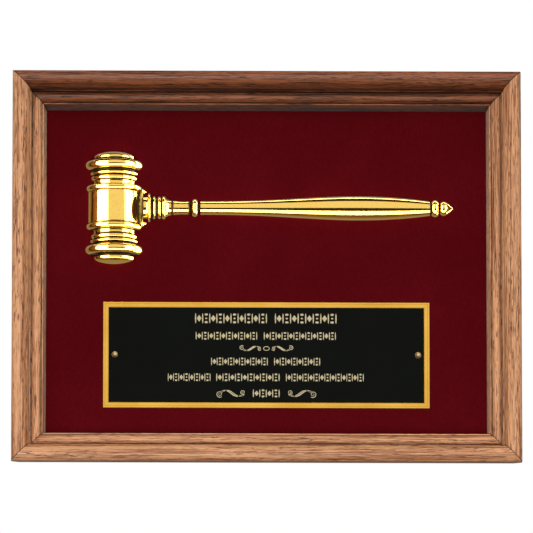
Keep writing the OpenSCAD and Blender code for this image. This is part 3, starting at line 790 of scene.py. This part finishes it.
# Each row: its left and right end, its height on the plate, how tall its shapes are, and how many.
for start, end, up, height, count in (
    (-46.8, 0.0, 24.6, 7.0, 21), (6.0, 46.0, 24.6, 7.0, 17), (-46.4, -6.4, 12.8, 5.5, 21),
    (-1.4, 45.6, 12.8, 5.5, 25), (-36.2, 0.6, -4.5, 5.5, 21), (5.4, 35.2, -4.5, 5.5, 17),
    (-64.8, -37.2, -15.2, 5.5, 17), (-32.8, 8.4, -15.2, 5.5, 21), (13.2, 64.0, -15.2, 5.5, 29),
    (-8.6, 8.4, -26.0, 5.5, 9),
):
    row = bpy.data.objects.new("row", bpy.data.meshes.new("row"))
    bpy.context.scene.collection.objects.link(row)
    maker = row.modifiers.new("row", "NODES")
    maker.node_group = chain
    values = {"Count": count, "Pitch": (end - start) / (count - 1) * mm, "Height": height * mm,
              "Thickness": enamel_t, "Material": inlay}
    for socket in chain.interface.items_tree:
        if socket.in_out == "INPUT":
            maker[socket.identifier] = values[socket.name]
    done = row.evaluated_get(bpy.context.evaluated_depsgraph_get())
    made = bpy.data.meshes.new_from_object(done)
    first = len(verts)
    verts += [(plate_mid.x + start * mm + p.co.x, cut_y - p.co.z, plate_mid.z + up * mm + p.co.y)
              for p in made.vertices]
    faces += [tuple(first + k for k in p.vertices) for p in made.polygons]
    bpy.data.objects.remove(row)


def stroke(points, widths):
    """A flat pen stroke along points (across, up in millimetres), as a thin solid."""
    p = np.array(points, float)
    way = np.gradient(p, axis=0)
    way /= np.linalg.norm(way, axis=1)[:, None]
    side = np.column_stack([-way[:, 1], way[:, 0]]) * np.array(widths)[:, None] / 2
    loops = []
    for q, n in zip(p, side):
        loops.append([(plate_mid.x + x * mm, y, plate_mid.z + z * mm)
                      for (x, z), y in ((q + n, cut_y), (q + n, cut_y - enamel_t),
                                        (q - n, cut_y - enamel_t), (q - n, cut_y))])
    more, ends = loft(loops, len(verts))
    verts.extend(more)
    faces.extend(ends)


def scroll(x, up, length, tall, turn, flip):
    """A scroll from x outwards: a long double curve that rolls up into a spiral at each end."""
    curve_steps, spiral_steps = 48, 56
    f = np.linspace(0, 1, curve_steps)
    for lag, thick in ((0.0, 0.62), (0.10, 0.34)):
        wave = [(x + flip * length * (0.10 + 0.74 * a),
                 up + turn * tall * 0.36 * math.sin(2 * math.pi * (0.92 * a + lag))) for a in f]
        stroke(wave, 0.20 + thick * np.sin(np.pi * f) ** 2)
    for at, size, lift, first, way in ((0.86, 0.40, 0.10, -2.2, 1), (0.13, 0.30, -0.12, 0.9, -1)):
        a = np.linspace(0, 3.2 * math.pi, spiral_steps)
        r = np.linspace(size, 0.06, spiral_steps) * tall
        cx, cz = x + flip * length * at, up + turn * lift * tall
        across, rise = way * flip * r * np.cos(a + first), way * turn * r * np.sin(a + first)
        stroke(np.column_stack([cx + across, cz - rise]), np.linspace(0.50, 0.24, spiral_steps))


for flip in (-1, 1):
    scroll(flip * 2.4, 4.3, 16.0, 4.0, 1, flip)
    scroll(flip * 12.8, -26.0, 21.0, 5.6, -1, flip)
f = np.linspace(0, 2 * math.pi, 40)
stroke(np.column_stack([1.9 * np.cos(f), 4.3 + 1.3 * np.sin(f)]), np.full(40, 0.42))
engraving = to_object("enamel_engraving", verts, faces, smooth=30)
engraving.data.materials.append(inlay)
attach(engraving, "root")

# ---- Escutcheon pins -----------------------------------------------------------------------------
# Two brass pins with low domed heads go through both plates and the velour into the board.
pin_lo, pin_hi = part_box("plate_pins")
head_r, head_t, shank_r = 2.0, 0.8, 0.6
length = (pin_hi.y - pin_lo.y) / mm
dome = (head_r ** 2 + head_t ** 2) / (2 * head_t)
pin_outline = [(dome - dome * math.cos(q), max(dome * math.sin(q), 0.02))
               for q in np.linspace(0, math.asin((head_r - 0.12) / dome), 12)] + [
    (head_t - 0.1, head_r - 0.02), (head_t - 0.03, head_r), (head_t, head_r - 0.04), (head_t, shank_r),
    (length - 1.2, shank_r), (length, 0.08)]


def round_pair(x0, x1, z, outline, steps):
    """Two equal round solids with their axes front to back, from (place along the axis, radius)."""
    verts, faces = [], []
    turns = np.linspace(0, 2 * math.pi, steps + 1)[:-1]
    for x in (x0, x1):
        more, ends = loft([[(x + r * math.cos(q), y, z + r * math.sin(q)) for q in turns]
                           for y, r in outline], len(verts))
        verts, faces = verts + more, faces + ends
    return verts, faces


verts, faces = round_pair(pin_lo.x + head_r * mm, pin_hi.x - head_r * mm, (pin_lo.z + pin_hi.z) / 2,
                          [(pin_lo.y + depth * mm, r * mm) for depth, r in pin_outline], 40)
plate_pins = to_object("brass_plate_pins", verts, faces, smooth=35)
plate_pins.data.materials.append(metal("pin_brass", (0.96, 0.74, 0.36), (0.80, 0.52, 0.20), 700.0))
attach(plate_pins, "root")
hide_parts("plate_pins")

# ---- Sawtooth hanger -----------------------------------------------------------------------------
# A stamped and zinc-plated steel strip, nailed to the top rail by its two ears.
finish_of("sawtooth_hanger", zinc)
finish_of("hanger_nails", galvanised)

# ---- Wall bumpers --------------------------------------------------------------------------------
# Soft rubber discs, stuck to the lower corners of the back, which keep the frame off the wall.
bump_lo, bump_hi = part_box("wall_bumpers")
disc_r, disc_t = (bump_hi.z - bump_lo.z) / 2, bump_hi.y - bump_lo.y
bumper_outline = (
    (disc_t, disc_r - 0.0005), (disc_t - 0.0002, disc_r - 0.0002), (disc_t - 0.0006, disc_r),
    (0.0009, disc_r), (0.00045, disc_r - 0.00015), (0.00015, disc_r - 0.0005), (0.0, disc_r - 0.0010),
    (0.0, disc_r * 0.5), (0.00025, disc_r * 0.35), (0.0003, 0.0002))
verts, faces = round_pair(bump_lo.x + disc_r, bump_hi.x - disc_r, (bump_lo.z + bump_hi.z) / 2,
                          [(bump_hi.y - depth, r) for depth, r in bumper_outline], 64)
bumpers = to_object("rubber_bumpers", verts, faces, smooth=35)
rubber, t = new_look("soft_rubber")
at = add(t, "ShaderNodeTexCoord").outputs["Object"]
bloom = noise(t, at, 420.0, 5.0, 0.7)
colour = ramp(t, bloom, (0.35, (0.018, 0.018, 0.019)), (0.75, (0.050, 0.049, 0.047)))
rough = carried(t, bloom, 0.62, 0.85)
bump = add(t, "ShaderNodeBump", Strength=0.2, Distance=0.0001, Height=bloom).outputs[0]
surface(t, Base_Color=colour, Roughness=rough, Normal=bump)
bumpers.data.materials.append(rubber)
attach(bumpers, "root")
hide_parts("wall_bumpers")

# ---- Floor ---------------------------------------------------------------------------------------
# A plain pale floor, far below the plaque, which hangs in the air as on its wall.
floor_mesh = bpy.data.meshes.new("pale_floor")
floor_mesh.from_pydata([(-12, -12, -2.3), (12, -12, -2.3), (12, 12, -2.3), (-12, 12, -2.3)], [],
                       [(0, 1, 2, 3)])
floor = bpy.data.objects.new("pale_floor", floor_mesh)
bpy.context.scene.collection.objects.link(floor)
pale, t = new_look("pale_floor")
at = add(t, "ShaderNodeTexCoord").outputs["Object"]
speck = noise(t, at, 30.0, 4.0)
surface(t, Base_Color=ramp(t, speck, (0.4, 0.78), (0.6, 0.79)), Roughness=0.8)
floor_mesh.materials.append(pale)
floor.visible_glossy = floor.visible_diffuse = False

# ---- Camera and light ----------------------------------------------------------------------------
# A very long lens, well below the middle and a little to the left, so that the inner wall of the top
# rail shows and the face keeps its true proportions. The lights are each meant for certain pieces.
middle = (0.0, (cad_box[0][1] + cad_box[1][1]) / 2, mid_z + 0.0022)
away, view_w = 8.0, 0.3525


def aim(thing, about, distance, turn, rise):
    """Puts a camera or a light at a distance from a point and aims it there. It is turned to the right
    and raised, in degrees, from straight in front."""
    a, e = math.radians(turn), math.radians(rise)
    thing.location = (about[0] + distance * math.sin(a) * math.cos(e),
                      about[1] - distance * math.cos(a) * math.cos(e),
                      about[2] + distance * math.sin(e))
    thing.rotation_euler = (math.radians(90) - e, 0, a)


camera_data = bpy.data.cameras.new("camera")
camera_data.lens = camera_data.sensor_width * away / view_w
camera_data.clip_end = 100
camera = bpy.data.objects.new("camera", camera_data)
bpy.context.scene.collection.objects.link(camera)
aim(camera, middle, away, -0.8, -12.5)
bpy.context.scene.camera = camera

world = bpy.data.worlds.new("studio")
bpy.context.scene.world = world
world.use_nodes = True
t = world.node_tree
t.nodes.clear()
facing = add(t, "ShaderNodeTexCoord").outputs["Generated"]
facing = add(t, "ShaderNodeSeparateXYZ", Vector=facing).outputs
front = maths(t, "MULTIPLY", facing[1], -1.0)
share = carried(t, front, 0.0, 1.0, -1.0, 1.0)
above = carried(t, facing[2], 0.18, 1.0, -0.5, 0.4)
fill = ramp(t, share, (0.0, 0.55), (0.5, 0.62), (0.85, 1.0))
fill = add(t, "ShaderNodeVectorMath", operation="SCALE", _0=fill, Scale=above).outputs[0]
soft = add(t, "ShaderNodeBackground", Color=fill, Strength=1.0).outputs[0]
ahead = maths(t, "MAXIMUM", front, 0.001)
lit = []
for axis, low, high in ((0, -0.45, 1.1), (2, -0.115, 2.1)):
    slope = maths(t, "DIVIDE", facing[axis], ahead)
    lit.append(carried(t, slope, 0.0, 1.0, low - 0.03, low + 0.03))
    lit.append(carried(t, slope, 0.0, 1.0, high + 0.08, high - 0.08))
card = lit[0]
for part in lit[1:]:
    card = maths(t, "MULTIPLY", card, part)
around = ramp(t, share, (0.20, (0.34, 0.33, 0.32)), (0.36, (0.26, 0.15, 0.09)),
              (0.44, (0.22, 0.12, 0.07)), (0.50, (0.03, 0.02, 0.015)))
card_glow = (1.04, 1.04, 1.04)
card = add(t, "ShaderNodeVectorMath", operation="MULTIPLY_ADD",
           _0=card, _1=card_glow, _2=around).outputs[0]
card = add(t, "ShaderNodeBackground", Color=card, Strength=1.0).outputs[0]
white = add(t, "ShaderNodeBackground", Color=(1, 1, 1, 1), Strength=1.0).outputs[0]
path = add(t, "ShaderNodeLightPath").outputs
mixed = add(t, "ShaderNodeMixShader", _0=path["Is Glossy Ray"], _1=soft, _2=card).outputs[0]
mixed = add(t, "ShaderNodeMixShader", _0=path["Is Camera Ray"], _1=mixed, _2=white).outputs[0]
add(t, "ShaderNodeOutputWorld", Surface=mixed)


def panel(name, turn, rise, distance, size, radiance, colour, lit, about):
    """A soft light aimed at a point, for the pieces of one collection."""
    data = bpy.data.lights.new(name, "AREA")
    data.shape, data.size, data.size_y = "RECTANGLE", size[0], size[1]
    data.energy, data.color = radiance * math.pi * size[0] * size[1], colour
    light = bpy.data.objects.new(name, data)
    aim(light, about, distance, turn, rise)
    light.light_linking.receiver_collection = lit
    bpy.context.scene.collection.objects.link(light)


on_gavel, on_head = (0.0, face_y, gavel_z), (head_x, face_y, gavel_z)
on_face_mid = (0.0, face_y, mid_z)
panel("gavel_left", -51, 0, 1.6, (1.6, 3.4), 8, (1, 1, 1), gilt_lit, on_head)
panel("gavel_right", 86, 0, 1.6, (2.7, 3.4), 8, (1, 1, 1), gilt_lit, on_head)
panel("gavel_top", 0, 101, 1.6, (3.0, 0.5), 7, (1, 1, 1), gilt_lit, on_gavel)
panel("gavel_low", 0, -57, 1.6, (3.0, 1.1), 6, (1, 0.97, 0.86), gilt_lit, on_gavel)
panel("wood_key", -8, -18, 2.2, (1.0, 1.0), 10.0, (1, 0.97, 0.92), wood_lit, on_face_mid)
panel("top_key", -8, 16, 2.2, (1.0, 1.0), 8.5, (1, 0.97, 0.92), top_lit, on_face_mid)
panel("cloth_key", -4, -22, 2.2, (1.4, 1.4), 4.2, (1, 1, 1), cloth_lit, on_face_mid)

bpy.context.scene.view_settings.view_transform = "Standard"
